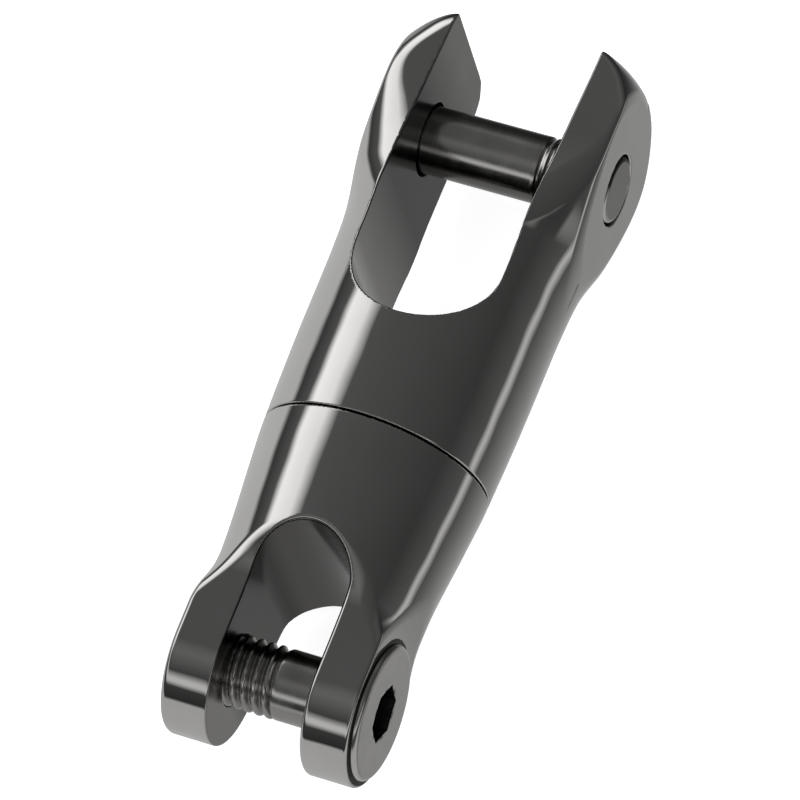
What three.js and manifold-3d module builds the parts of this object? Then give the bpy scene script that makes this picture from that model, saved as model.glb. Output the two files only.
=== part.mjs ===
// Anchor swivel: a two-jaw stainless connector between an anchor and its chain.
// Millimetres, +Z up. The swivel axis is Y: the anchor fork points to +Y, the chain fork
// to -Y. The clevis pins lie along X and both jaw slots pass right through along Z.
// "Front" is the +Z side and "back" the -Z side. The origin is on the swivel axis, halfway
// along the forks. Pieces are modelled with y = 0 at the seam between the forks.
import * as THREE from "three";
import { mergeVertices } from "three/addons/utils/BufferGeometryUtils.js";
import Module from "manifold-3d";

const wasm = await Module();
wasm.setup();

// ---- shared dimensions ----
const SEAM_GAP = 0.4; // open line between the two forks
const SEAM_CHAMFER = 0.33;
const FIT_GAP = 0.15; // radial clearance around threads, bolt and bush
const REACH = 70; // cutters and trimming outlines run this far, past every face

const BODY_FACETS = 72;
const BORE_FACETS = 48;
const PIN_FACETS = 40;
const SMALL_FACETS = 24; // grub screws and lock pin
const SLOT_STEPS = 36;
const EAR_END_STEPS = 20;
const O_RING_STEPS = 8;

// ---- anchor fork ----
const ANCHOR_TOP_Y = 50.75; // flat end of the ears
const ANCHOR_SIDE_X = 13.7; // outer side flats of the ears
const ANCHOR_SLOT_HALF = 8.5; // half the jaw's width
const ANCHOR_SLOT_Y = 21; // centre of the slot's round end
const ANCHOR_PIN_Y = 38.6;

// Turned body: [radius, y].
const ANCHOR_PROFILE = [
  [12.72, SEAM_GAP / 2], [13.05, SEAM_GAP / 2 + SEAM_CHAMFER], [13.1, 3], [13.2, 8],
  [13.35, 14], [13.42, 20], [13.54, 24], [13.75, 26.5], [14.05, 28], [14.55, 29.7],
  [15.1, 31.5], [15.5, 33.3], [15.85, 35], [16.2, 37], [16.5, 39], [16.62, 41],
  [16.45, 43], [16.0, 44.7], [15.35, 46.2], [14.55, 47.7], [13.7, 49], [12.85, 50],
  [12.25, 50.5], [11.8, ANCHOR_TOP_Y],
];
// Front faces of the ears: [y, height above the axis].
const ANCHOR_FRONT = [
  [-2, 15], [25.6, 15], [27, 13.8], [28.6, 12.6], [30.4, 11.65], [32.4, 11.0],
  [34.6, 10.45], [37, 9.95], [39.6, 9.55], [42.6, 9.25], [45.5, 8.85], [48.4, 8.5],
  [52, 8.2],
];
// Back faces of the ears: [y, depth below the axis].
const ANCHOR_BACK = [
  [-2, 15], [22.6, 15], [24, 13.6], [25.6, 12.3], [27.4, 11.4], [29.6, 10.8],
  [32.5, 10.5], [38, 10.55], [44, 10.75], [52, 10.95],
];

// ---- chain fork ----
const CHAIN_END_R = 8.5; // rounded ends of the ears, about the pin
const CHAIN_SIDE_X = 10.9; // outer side flats of the ears
const CHAIN_SLOT_HALF = 5.4;
const CHAIN_SLOT_Y = -18.1;
const CHAIN_PIN_Y = -27.25;

// Turned body: [radius, y].
const CHAIN_PROFILE = [
  [12.72, -SEAM_GAP / 2], [13.05, -SEAM_GAP / 2 - SEAM_CHAMFER], [12.95, -2.4], [12.7, -5],
  [12.38, -8.5], [12.05, -12], [11.87, -14.6], [11.87, -16.8], [12.1, -18.5], [12.6, -20],
  [13.3, -21.5], [14.1, -23.2], [14.8, -25.4], [14.8, -37],
];
// Front and back faces, as far as the straight part of the ears: [y, half thickness].
const CHAIN_FACE = [
  [2, 14], [-12.2, 14], [-13.4, 12.5], [-14.6, 11.2], [-15.8, 10.15], [-17.2, 9.3],
  [-18.8, 8.75], [-20.6, CHAIN_END_R],
];
// Side faces: [y, half width].
const CHAIN_SIDE = [
  [2, 15], [-11.6, 15], [-13, 12.6], [-14.4, 12.0], [-15.8, 11.55], [-17.2, 11.2],
  [-18.6, 10.98], [-19.6, CHAIN_SIDE_X], [-38, CHAIN_SIDE_X],
];

// ---- clevis pins ----
const THREAD_R = 4.0; // M8 x 1.25 crest
const THREAD_ROOT_R = 3.3;
const THREAD_PITCH = 1.25;
const PIN_HOLE_R = THREAD_R + FIT_GAP;

// The anchor pin goes in from -X and threads into the +X ear.
const ANCHOR_PIN_R = 3.85; // plain shank
const ANCHOR_CLEAR_HOLE_R = 4.55; // hole in the -X ear
const ANCHOR_HEAD_R = 5.6;
const ANCHOR_HEAD_T = 2.5;
const ANCHOR_HEAD_X0 = -ANCHOR_SIDE_X + 0.1; // sunk just below the ear's flat
const ANCHOR_HEAD_X1 = ANCHOR_HEAD_X0 + ANCHOR_HEAD_T;
const ANCHOR_PIN_END_X = 13.75;

// The chain pin goes in from +X and threads towards -X.
const CHAIN_PIN_R = 3.95; // plain shank
const CHAIN_PIN_END_X = -10.6;
const CHAIN_HEAD_R = 7.6; // flat disc head
const CHAIN_SEAT_R = 8.0; // shallow recess the head sits in
const CHAIN_SEAT_X = 10.2;
const CHAIN_HEAD_X0 = 10.3;
const CHAIN_HEAD_X1 = 11.65;
const CHAIN_HEAD_ROUND = 0.85; // turned round on the head's rim

// ---- swivel inside the forks ----
const BOLT_R = 4.5;
const BOLT_HEAD_R = 6.5;
const BOLT_HEAD_Y0 = 9.05;
const BOLT_HEAD_Y1 = 11.95;
const BOLT_END_Y = -9.2;
const BOLT_BORE_R = BOLT_R + FIT_GAP; // through the bush and into the chain fork
const BUSH_R = 5.95;
const BUSH_FLANGE_R = 6.9;
const BUSH_Y0 = 1.25;
const BUSH_FLANGE_Y0 = 7.1;
const BUSH_Y1 = 7.9;
const COUNTERBORE_R = 7.1; // clears the bush flange, washer and bolt head
const COUNTERBORE_Y = BUSH_FLANGE_Y0 - FIT_GAP;
const WASHER_RECESS_R = 9.0;
const WASHER_RECESS_Y = 1.1;
const O_RING_R = 10.45; // to the middle of the cord
const O_RING_CORD_R = 0.62;
const O_RING_Y = 0.6;
const O_RING_GROOVE_HALF = 0.85;
const O_RING_GROOVE_Y = 1.35;
const LOCK_PIN_R = 1.0;
const LOCK_PIN_Y = -5.4;

// ---- grub screws, each in the middle of a threaded ear: [x, y] ----
const GRUB_R = 2.0;
const GRUB_HOLE_R = 2.12;
const ANCHOR_GRUB_AT = [(ANCHOR_SLOT_HALF + ANCHOR_SIDE_X) / 2, ANCHOR_PIN_Y];
const CHAIN_GRUB_AT = [-(CHAIN_SLOT_HALF + CHAIN_SIDE_X) / 2, CHAIN_PIN_Y];

// ---- solids ----
// Closed manifold from a geometry, with its seams welded and collapsed triangles dropped.
function solid(geometry) {
  for (const name of Object.keys(geometry.attributes)) {
    if (name !== "position") geometry.deleteAttribute(name);
  }
  const merged = mergeVertices(geometry, 1e-4);
  const index = merged.index.array;
  const build = (flip) => {
    const triangles = [];
    for (let i = 0; i < index.length; i += 3) {
      const [a, b, c] = [index[i], index[i + 1], index[i + 2]];
      if (a === b || b === c || a === c) continue;
      triangles.push(...(flip ? [a, c, b] : [a, b, c]));
    }
    return new wasm.Manifold(
      new wasm.Mesh({
        numProp: 3,
        vertProperties: new Float32Array(merged.attributes.position.array),
        triVerts: new Uint32Array(triangles),
      }),
    );
  };
  const built = build(false);
  // a profile listed towards the negative end of its axis comes out inside out
  return built.volume() >= 0 ? built : build(true);
}

// Turns a shape made along Z to lie along an axis. A shape's first two coordinates
// become (x, y) for Z, (y, z) for X and (z, x) for Y.
const AXES = {
  Z: new THREE.Matrix4(),
  X: new THREE.Matrix4().set(0, 0, 1, 0, 1, 0, 0, 0, 0, 1, 0, 0, 0, 0, 0, 1),
  Y: new THREE.Matrix4().set(0, 1, 0, 0, 0, 0, 1, 0, 1, 0, 0, 0, 0, 0, 0, 1),
};

// Extrudes a closed outline through the whole body along an axis.
function prism(outline, axis) {
  const shape = new THREE.Shape(outline.map(([u, v]) => new THREE.Vector2(u, v)));
  const geometry = new THREE.ExtrudeGeometry(shape, {
    depth: 2 * REACH,
    bevelEnabled: false,
    curveSegments: 1,
  });
  geometry.translate(0, 0, -REACH);
  return solid(geometry.applyMatrix4(AXES[axis]));
}

// A round bar about a centre, from one coordinate to another along an axis.
function bar(axis, radius, from, to, centre = [0, 0], facets = BORE_FACETS) {
  const geometry = new THREE.CylinderGeometry(radius, radius, to - from, facets);
  geometry.rotateX(Math.PI / 2);
  geometry.translate(...centre, (from + to) / 2);
  return solid(geometry.applyMatrix4(AXES[axis]));
}
const hexBar = (axis, acrossFlats, from, to, centre) =>
  bar(axis, acrossFlats / Math.sqrt(3), from, to, centre, 6);

// Revolves a closed profile of [radius, place along the axis].
function revolved(profile, axis, centre = [0, 0], facets = BORE_FACETS) {
  const points = profile.map(([radius, place]) => new THREE.Vector2(radius, place));
  const geometry = new THREE.LatheGeometry(points, facets);
  geometry.rotateX(Math.PI / 2);
  geometry.translate(...centre, 0);
  return solid(geometry.applyMatrix4(AXES[axis]));
}

// Revolves an open profile, closed with a flat disc at each end.
function turned(profile, axis, centre, facets) {
  const capped = [[0, profile[0][1]], ...profile, [0, profile.at(-1)[1]]];
  return revolved(capped, axis, centre, facets);
}

function ring(innerR, outerR, y0, y1) {
  const section = [[innerR, y0], [outerR, y0], [outerR, y1], [innerR, y1], [innerR, y0]];
  return revolved(section, "Y");
}

// ---- outlines ----
// Points on an arc about zero, from the first coordinate's positive side.
function arc(radius, sweep, steps) {
  const points = [];
  for (let i = 0; i <= steps; i++) {
    const angle = (sweep * i) / steps;
    points.push([radius * Math.cos(angle), radius * Math.sin(angle)]);
  }
  return points;
}

// Joins two edges, the second measured down from the axis.
const between = (upper, lower) => [
  ...upper,
  ...lower.map(([along, depth]) => [along, -depth]).reverse(),
];

// Trims both sides to half widths given as [y, x].
const sideTrim = (side) => prism(between(side, side).map(([y, x]) => [x, y]), "Z");

// Jaw slot with a round end, open towards +Y or -Y (openWay 1 or -1).
function slot(half, centreY, openWay) {
  const roundEnd = arc(half, Math.PI, SLOT_STEPS).map(([x, y]) => [x, centreY - openWay * y]);
  return prism([...roundEnd, [-half, openWay * REACH], [half, openWay * REACH]], "Z");
}

// V thread as separate grooves round the bar, not a helix: [radius, x].
function threadProfile(from, to) {
  const points = [];
  const count = Math.floor((to - from) / THREAD_PITCH);
  const step = (to - from) / count;
  for (let i = 0; i < count; i++) {
    const x = from + i * step;
    points.push([THREAD_ROOT_R, x], [THREAD_R, x + step / 2]);
  }
  points.push([THREAD_ROOT_R, to]);
  return points;
}

// ---- the two forks ----
// Holes drilled from the back.
const grubHole = (centre) => bar("Z", GRUB_HOLE_R, -REACH, 0, centre, SMALL_FACETS);
const lockPinHole = () =>
  bar("Z", LOCK_PIN_R + 0.1, -REACH, 2.3, [0, LOCK_PIN_Y], SMALL_FACETS);

function anchorFork() {
  const pinAt = [ANCHOR_PIN_Y, 0];
  const headBoreR = ANCHOR_HEAD_R + 0.2;
  const headBoreX = -ANCHOR_SIDE_X + ANCHOR_HEAD_T + 0.3;
  const grooveInnerR = O_RING_R - O_RING_GROOVE_HALF;
  const grooveOuterR = O_RING_R + O_RING_GROOVE_HALF;
  return turned(ANCHOR_PROFILE, "Y", [0, 0], BODY_FACETS)
    .intersect(prism(between(ANCHOR_FRONT, ANCHOR_BACK), "X"))
    .intersect(sideTrim([[-REACH, ANCHOR_SIDE_X], [REACH, ANCHOR_SIDE_X]]))
    .subtract(slot(ANCHOR_SLOT_HALF, ANCHOR_SLOT_Y, 1))
    // bush housing and counterbore, both running out into the slot
    .subtract(bar("Y", BUSH_R + FIT_GAP, -REACH, ANCHOR_SLOT_Y))
    .subtract(bar("Y", COUNTERBORE_R, COUNTERBORE_Y, ANCHOR_SLOT_Y))
    // washer recess and O-ring groove in the seam face
    .subtract(bar("Y", WASHER_RECESS_R, -REACH, WASHER_RECESS_Y))
    .subtract(ring(grooveInnerR, grooveOuterR, -1, O_RING_GROOVE_Y))
    // pin holes: clear with a head counterbore at -X, threaded at +X
    .subtract(bar("X", ANCHOR_CLEAR_HOLE_R, -REACH, 0, pinAt))
    .subtract(bar("X", headBoreR, -REACH, headBoreX, pinAt))
    .subtract(bar("X", PIN_HOLE_R, 0, REACH, pinAt))
    .subtract(grubHole(ANCHOR_GRUB_AT));
}

function chainFork() {
  const pinAt = [CHAIN_PIN_Y, 0];
  const earEnd = arc(CHAIN_END_R, Math.PI / 2, EAR_END_STEPS).map(([height, out]) => [
    CHAIN_PIN_Y - out,
    height,
  ]);
  const front = [...CHAIN_FACE, ...earEnd];
  // the two edges share the tip of the ear, so the back leaves it out
  const outline = between(front, front.slice(0, -1));
  return turned(CHAIN_PROFILE, "Y", [0, 0], BODY_FACETS)
    .intersect(prism(outline, "X"))
    .intersect(sideTrim(CHAIN_SIDE))
    .subtract(slot(CHAIN_SLOT_HALF, CHAIN_SLOT_Y, -1))
    // blind hole for the swivel bolt
    .subtract(bar("Y", BOLT_BORE_R, BOLT_END_Y - 0.25, REACH))
    .subtract(lockPinHole())
    .subtract(bar("X", PIN_HOLE_R, -REACH, REACH, pinAt))
    .subtract(bar("X", CHAIN_SEAT_R, CHAIN_SEAT_X, REACH, pinAt))
    .subtract(grubHole(CHAIN_GRUB_AT));
}

// ---- clevis pins ----
function anchorPin() {
  const pinAt = [ANCHOR_PIN_Y, 0];
  const headChamfer = 0.35;
  const profile = [
    [ANCHOR_HEAD_R - headChamfer, ANCHOR_HEAD_X0],
    [ANCHOR_HEAD_R, ANCHOR_HEAD_X0 + headChamfer],
    [ANCHOR_HEAD_R, ANCHOR_HEAD_X1],
    [ANCHOR_PIN_R, ANCHOR_HEAD_X1],
    [ANCHOR_PIN_R, 5.85],
    [THREAD_ROOT_R, 6.15],
    ...threadProfile(6.2, ANCHOR_PIN_END_X - 0.6),
    [THREAD_R - 0.25, ANCHOR_PIN_END_X - 0.5],
    [THREAD_R - 0.32, ANCHOR_PIN_END_X - 0.2],
    [THREAD_R - 0.6, ANCHOR_PIN_END_X],
  ];
  const socket = hexBar("X", 5, -REACH, ANCHOR_HEAD_X0 + 3.2, pinAt);
  return turned(profile, "X", pinAt, PIN_FACETS).subtract(socket);
}

function chainPin() {
  const pinAt = [CHAIN_PIN_Y, 0];
  const profile = [
    [THREAD_ROOT_R - 0.3, CHAIN_PIN_END_X],
    ...threadProfile(-10.35, -0.35),
    [CHAIN_PIN_R, 0.05],
    [CHAIN_PIN_R, CHAIN_HEAD_X0],
    [CHAIN_HEAD_R, CHAIN_HEAD_X0],
    [CHAIN_HEAD_R, CHAIN_HEAD_X1 - CHAIN_HEAD_ROUND],
    [CHAIN_HEAD_R - 0.12, CHAIN_HEAD_X1 - 0.5 * CHAIN_HEAD_ROUND],
    [CHAIN_HEAD_R - 0.38, CHAIN_HEAD_X1 - 0.16 * CHAIN_HEAD_ROUND],
    [CHAIN_HEAD_R - CHAIN_HEAD_ROUND, CHAIN_HEAD_X1],
  ];
  const socket = hexBar("X", 6, CHAIN_HEAD_X1 - 3.4, REACH, pinAt);
  return turned(profile, "X", pinAt, PIN_FACETS).subtract(socket);
}

// ---- swivel ----
function swivelBolt() {
  const endChamfer = 0.6;
  const headChamfer = 0.4;
  const profile = [
    [BOLT_R - endChamfer, BOLT_END_Y],
    [BOLT_R, BOLT_END_Y + endChamfer],
    [BOLT_R, BOLT_HEAD_Y0],
    [BOLT_HEAD_R, BOLT_HEAD_Y0],
    [BOLT_HEAD_R, BOLT_HEAD_Y1 - headChamfer],
    [BOLT_HEAD_R - headChamfer, BOLT_HEAD_Y1],
  ];
  return turned(profile, "Y", [0, 0], PIN_FACETS)
    .subtract(hexBar("Y", 6, BOLT_HEAD_Y1 - 3.2, REACH))
    .subtract(lockPinHole());
}

function bush() {
  const section = [
    [BOLT_BORE_R, BUSH_Y0],
    [BUSH_R, BUSH_Y0],
    [BUSH_R, BUSH_FLANGE_Y0],
    [BUSH_FLANGE_R, BUSH_FLANGE_Y0],
    [BUSH_FLANGE_R, BUSH_Y1],
    [BOLT_BORE_R, BUSH_Y1],
    [BOLT_BORE_R, BUSH_Y0],
  ];
  return revolved(section, "Y");
}

const headWasher = () => ring(4.7, 6.8, 8.0, 8.9);
const seamWasher = () => ring(4.8, 8.85, 0, 0.95);

function oRing() {
  const section = arc(O_RING_CORD_R, 2 * Math.PI, O_RING_STEPS).map(([out, along]) => [
    O_RING_R + out,
    O_RING_Y + along,
  ]);
  section[O_RING_STEPS] = section[0]; // close the loop exactly
  return revolved(section, "Y", [0, 0], PIN_FACETS);
}

function lockPin() {
  const [backZ, frontZ, chamfer] = [-12.2, 2, 0.15];
  const profile = [
    [LOCK_PIN_R - chamfer, backZ],
    [LOCK_PIN_R, backZ + chamfer],
    [LOCK_PIN_R, frontZ - chamfer],
    [LOCK_PIN_R - chamfer, frontZ],
  ];
  return turned(profile, "Z", [0, LOCK_PIN_Y], SMALL_FACETS);
}

// Grub screw running in from outerZ at the back, with its socket outwards.
function grub({ centre, outerZ, length }) {
  const innerZ = outerZ + length;
  const profile = [
    [GRUB_R - 0.25, outerZ],
    [GRUB_R, outerZ + 0.25],
    [GRUB_R, innerZ - 0.3],
    [GRUB_R - 0.3, innerZ],
  ];
  const socket = hexBar("Z", 2, -REACH, outerZ + 1.6, centre);
  return turned(profile, "Z", centre, SMALL_FACETS).subtract(socket);
}
const anchorGrub = () => grub({ centre: ANCHOR_GRUB_AT, outerZ: -9.7, length: 5 });
const chainGrub = () => grub({ centre: CHAIN_GRUB_AT, outerZ: -7.9, length: 3.3 });

// ---- scene graph ----
// One mesh, with its own material; metal unless the finish says otherwise.
function piece(name, manifold, finish) {
  const { vertProperties, triVerts } = manifold.getMesh();
  const geometry = new THREE.BufferGeometry();
  const positions = new Float32Array(vertProperties);
  geometry.setAttribute("position", new THREE.BufferAttribute(positions, 3));
  geometry.setIndex(new THREE.BufferAttribute(new Uint32Array(triVerts), 1));
  geometry.computeVertexNormals();
  const material = new THREE.MeshStandardMaterial({ metalness: 1, ...finish });
  const mesh = new THREE.Mesh(geometry, material);
  mesh.name = name;
  return mesh;
}

const POLISHED = { color: 0xc9c9c8, roughness: 0.06 };
const TURNED = { color: 0x8f8c86, roughness: 0.32 };
const GRUB = { color: 0x8a8884, roughness: 0.35 };
const BRONZE = { name: "bronze", color: 0xa9793f, roughness: 0.35 };
const WASHER = { name: "washer_steel", color: 0xb4b2ae, roughness: 0.3 };
const BOLT = { name: "bolt_steel", color: 0xa3a19c, roughness: 0.28 };
const LOCK_PIN = { name: "lock_pin_steel", color: 0x9a9893, roughness: 0.25 };
const PALE_WASHER = { color: 0xe6e2d4, roughness: 0.5, metalness: 0 };
const BLACK_RING = { color: 0x161616, roughness: 0.7, metalness: 0 };

const anchorSide = new THREE.Group();
anchorSide.add(
  piece("anchor_fork", anchorFork(), { name: "polished_anchor", ...POLISHED }),
  piece("swivel_bush", bush(), BRONZE),
  piece("head_thrust_washer", headWasher(), WASHER),
  piece("seam_thrust_washer", seamWasher(), PALE_WASHER),
  piece("seam_o_ring", oRing(), BLACK_RING),
  piece("anchor_pin", anchorPin(), { name: "turned_pin_a", ...TURNED }),
  piece("anchor_pin_grub_screw", anchorGrub(), { name: "grub_a", ...GRUB }),
);

const chainSide = new THREE.Group();
chainSide.add(
  piece("chain_fork", chainFork(), { name: "polished_chain", ...POLISHED }),
  piece("swivel_bolt", swivelBolt(), BOLT),
  piece("bolt_lock_pin", lockPin(), LOCK_PIN),
  piece("chain_pin", chainPin(), { name: "turned_pin_c", ...TURNED }),
  piece("chain_pin_grub_screw", chainGrub(), { name: "grub_c", ...GRUB }),
);

const assembly = new THREE.Group();
assembly.position.y = -(ANCHOR_TOP_Y + CHAIN_PIN_Y - CHAIN_END_R) / 2;
assembly.add(anchorSide, chainSide);
const group = new THREE.Group();
group.add(assembly);

export default group;
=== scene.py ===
"""A polished swivel shackle: an anchor fork and a chain fork joined by a swivel bolt.

The swivel axis is Y. The anchor fork lies on the +Y side of the seam and opens towards +Y,
the chain fork lies on the -Y side and opens towards -Y. Each fork's clevis pin runs along X.
Sizes are in mm with y counted from the seam; new_object() turns them into metres.
"""
import itertools
import math

import bmesh
import bpy
import numpy as np
from mathutils import Matrix, Vector


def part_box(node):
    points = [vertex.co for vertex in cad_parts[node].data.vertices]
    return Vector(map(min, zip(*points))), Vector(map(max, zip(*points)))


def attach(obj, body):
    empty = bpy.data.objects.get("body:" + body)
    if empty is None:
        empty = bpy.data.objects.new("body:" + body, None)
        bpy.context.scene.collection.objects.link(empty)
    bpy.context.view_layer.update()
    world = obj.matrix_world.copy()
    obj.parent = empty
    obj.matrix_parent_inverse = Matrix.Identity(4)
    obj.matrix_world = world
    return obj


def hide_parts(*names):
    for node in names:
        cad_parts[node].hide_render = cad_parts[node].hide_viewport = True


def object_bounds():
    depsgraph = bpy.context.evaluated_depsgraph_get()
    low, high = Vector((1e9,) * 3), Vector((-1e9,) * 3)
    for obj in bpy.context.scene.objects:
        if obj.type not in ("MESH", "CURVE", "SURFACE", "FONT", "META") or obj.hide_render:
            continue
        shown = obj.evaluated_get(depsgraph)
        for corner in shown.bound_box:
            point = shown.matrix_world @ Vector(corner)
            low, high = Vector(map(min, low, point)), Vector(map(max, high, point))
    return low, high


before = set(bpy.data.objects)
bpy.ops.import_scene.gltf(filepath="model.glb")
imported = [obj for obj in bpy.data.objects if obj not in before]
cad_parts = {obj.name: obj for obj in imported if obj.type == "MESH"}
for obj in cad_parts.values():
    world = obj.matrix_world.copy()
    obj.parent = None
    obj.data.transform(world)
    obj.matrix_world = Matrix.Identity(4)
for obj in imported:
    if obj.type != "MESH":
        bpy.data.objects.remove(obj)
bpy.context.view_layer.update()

# ---------------------------------------------------------------------------
# driving sizes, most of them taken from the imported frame
# ---------------------------------------------------------------------------
MM = 1000.0  # mm in a metre


class Box:
    """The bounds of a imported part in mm, with y counted from seam_y."""

    def __init__(self, node, seam_y):
        low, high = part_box(node)
        self.low = np.array(low) * MM - [0, seam_y, 0]
        self.high = np.array(high) * MM - [0, seam_y, 0]
        self.mid = (self.low + self.high) / 2
        self.half = (self.high - self.low) / 2


anchor_start = Box("anchor_fork", 0.0).low[1]
chain_end = Box("chain_fork", 0.0).high[1]
SEAM = (anchor_start + chain_end) / 2
SEAM_EDGE = min((anchor_start - chain_end) / 2, 0.12)  # from the seam to each fork's end face

ANCHOR_FORK = Box("anchor_fork", SEAM)
CHAIN_FORK = Box("chain_fork", SEAM)
ANCHOR_PIN = Box("anchor_pin", SEAM)
CHAIN_PIN = Box("chain_pin", SEAM)
BOLT = Box("swivel_bolt", SEAM)
LOCK_PIN = Box("bolt_lock_pin", SEAM)
ANCHOR_GRUB = Box("anchor_pin_grub_screw", SEAM)
CHAIN_GRUB = Box("chain_pin_grub_screw", SEAM)
BUSH = Box("swivel_bush", SEAM)
HEAD_WASHER = Box("head_thrust_washer", SEAM)
SEAM_WASHER = Box("seam_thrust_washer", SEAM)
O_RING = Box("seam_o_ring", SEAM)

ANCHOR_TOP = ANCHOR_FORK.high[1]
ANCHOR_SIDE = ANCHOR_FORK.high[0]  # half width in x
CHAIN_SIDE = 10.9
ANCHOR_PIN_Y = ANCHOR_PIN.mid[1]
CHAIN_PIN_Y = CHAIN_PIN.mid[1]
CHAIN_END_R = CHAIN_PIN_Y - CHAIN_FORK.low[1]  # the fork's end is round about its pin

ANCHOR_SLOT_HALF, ANCHOR_SLOT_Y = 8.5, 21.0  # half width, and centre of the slot's round end
CHAIN_SLOT_HALF, CHAIN_SLOT_Y = 5.4, -18.1
PIN_HOLE_R = 4.07
CLEAR_HOLE_R = 4.24
GRUB_HOLE_R = 2.12

CHAIN_PIN_R = 3.95
ANCHOR_PIN_R = 3.85
PIN_CREST_R = 4.0
PIN_PITCH = 1.25
CHAIN_HEX_TURN = math.radians(-8.5)

GRID_STEP = 0.22  # cell size of the forks' surfaces
SEGMENTS = 192  # points round a pin or the bolt
GRUB_SEGMENTS = 96
LOCK_SEGMENTS = 64
COLLAR_SEGMENTS = 144

# ---------------------------------------------------------------------------
# fork outlines
# ---------------------------------------------------------------------------
CURVE_STEP = 0.02


class Curve:
    """A smoothed curve through a table of (y, value) points, with its slope."""

    def __init__(self, points, sigma):
        table = np.array(sorted(points), float)
        self.y = np.arange(table[0, 0], table[-1, 0], CURVE_STEP)
        raw = np.interp(self.y, table[:, 0], table[:, 1])
        reach = int(4 * sigma / CURVE_STEP)
        kernel = np.exp(-0.5 * (np.arange(-reach, reach + 1) * CURVE_STEP / sigma) ** 2)
        kernel /= kernel.sum()
        # both ends run on straight, so that smoothing does not bend them
        before = raw[0] + (raw[1] - raw[0]) * np.arange(-reach, 0)
        after = raw[-1] + (raw[-1] - raw[-2]) * np.arange(1, reach + 1)
        self.value = np.convolve(np.concatenate([before, raw, after]), kernel, mode="valid")
        self.slope = np.gradient(self.value, CURVE_STEP)

    def __call__(self, y):
        return np.interp(y, self.y, self.value)

    def beyond(self, size, y):
        """How far size lies outside the curve, measured square to it."""
        slope = np.interp(y, self.y, self.slope)
        return (size - self(y)) / np.sqrt(1 + slope * slope)


# (y, radius about the swivel axis)
ANCHOR_RADIUS = Curve([
    (-3, 12.95), (0, 13.06), (3, 13.17), (6, 13.27), (9, 13.34), (12, 13.38), (16, 13.4),
    (20, 13.42), (24, 13.54), (26.5, 13.75), (28, 14.05), (29.7, 14.55), (31.5, 15.1),
    (33.3, 15.5), (35, 15.85), (37, 16.2), (39, 16.5), (41, 16.65), (43, 16.55), (44.7, 16.15),
    (46.2, 15.5), (47.7, 14.7), (49, 13.85), (50, 13.0), (50.75, 12.05), (52.2, 9.6)], 0.7)
# (y, distance of the +Z face from the axis)
ANCHOR_FRONT = Curve([
    (-5, 24), (19, 21), (25.6, 15), (27, 13.75), (28.6, 12.6), (30.4, 11.65), (32.4, 11.0),
    (34.6, 10.45), (37, 9.95), (39.6, 9.55), (42.6, 9.25), (45.5, 8.85), (48.4, 8.5),
    (52, 8.2), (56, 7.9)], 0.8)
# (y, distance of the -Z face from the axis)
ANCHOR_BACK = Curve([
    (-5, 24), (17, 20), (22.6, 15), (24, 13.6), (25.6, 12.3), (27.4, 11.4), (29.6, 10.8),
    (32.5, 10.5), (38, 10.55), (44, 10.75), (56, 11.05)], 0.8)
# (y, half width in x)
ANCHOR_WIDTH = Curve([(y, ANCHOR_SIDE + extra) for y, extra in (
    (-5, 0.9), (18, 0.6), (23, 0.25), (26, -0.01), (29, -0.07), (33, -0.03), (38, 0),
    (44, -0.06), (50, -0.22), (56, -0.5))], 0.9)
# (y, rounding of the +Z face's edge) on the -X arm, then on the +X arm
ANCHOR_EDGE_MINUS = Curve([
    (0, 0.5), (24, 0.9), (27, 2.4), (30, 3.4), (35, 3.8), (39, 3.2), (42, 2.0), (45.5, 1.6),
    (48.5, 1.8), (51, 1.0), (56, 0.8)], 1.2)
ANCHOR_EDGE_PLUS = Curve([
    (0, 0.5), (24, 0.9), (27, 2.2), (31, 2.4), (36, 1.6), (40, 0.9), (45, 0.6), (56, 0.5)], 1.2)
# (y, radius about the swivel axis)
CHAIN_RADIUS = Curve([
    (3, 13.2), (-0.5, 13.05), (-2.4, 12.93), (-5, 12.7), (-8.5, 12.38), (-12, 12.05),
    (-14.6, 11.87), (-16.8, 11.87), (-18.5, 12.1), (-20, 12.6), (-21.5, 13.3), (-23.2, 14.1),
    (-25.4, 14.8), (-40, 15.0)], 0.7)
# (y, half thickness in z)
CHAIN_THICKNESS = Curve([
    (5, 21), (-8, 17), (-11.2, 14.4), (-12.3, 13.4), (-13.4, 12.4), (-14.6, 11.2),
    (-15.8, 10.2), (-17.2, 9.35), (-18.8, 8.86), (-20.6, 8.66), (-23.5, 8.56), (-27, 8.5),
    (-45, 8.5)], 1.3)
# (y, half width in x)
CHAIN_WIDTH = Curve([
    (5, 18), (-9.5, 15.2), (-11.6, 13.4), (-13, 12.5), (-14.4, 11.95), (-15.8, 11.52),
    (-17.2, 11.2), (-18.6, 10.98), (-19.8, CHAIN_SIDE), (-45, CHAIN_SIDE)], 0.6)

# painted shade on the slot's walls: places along y, and how much of the colour is left there (1
# is unshaded)
ANCHOR_SLOT_UNSHADED = ([20, 30, 40, 48], [0.8, 0.1, 0.1, 0.6])
CHAIN_SLOT_UNSHADED = ([-31, -27, -12], [0.75, 0.15, 0.1])


# ---------------------------------------------------------------------------
# fork fields: distances in mm, negative inside the metal
# ---------------------------------------------------------------------------
def meet(first, second, edge):
    """What two fields share, with a round of radius edge where they meet."""
    return (np.minimum(np.maximum(first, second), -edge)
            + np.hypot(np.maximum(first + edge, 0), np.maximum(second + edge, 0)))


def carve(shape, tool, edge):
    return meet(shape, -tool, edge)


def wave(x, y, z, height):
    """The slight unevenness that hand polishing leaves on a casting."""
    return height * (
        np.sin(0.71 * x + 0.33 * y + 1.3) * np.sin(0.47 * y - 0.52 * z + 0.4)
        + 0.6 * np.sin(1.05 * z + 0.81 * x - 0.37 * y) * np.sin(0.9 * y + 0.2 * x + 2.1))


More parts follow.
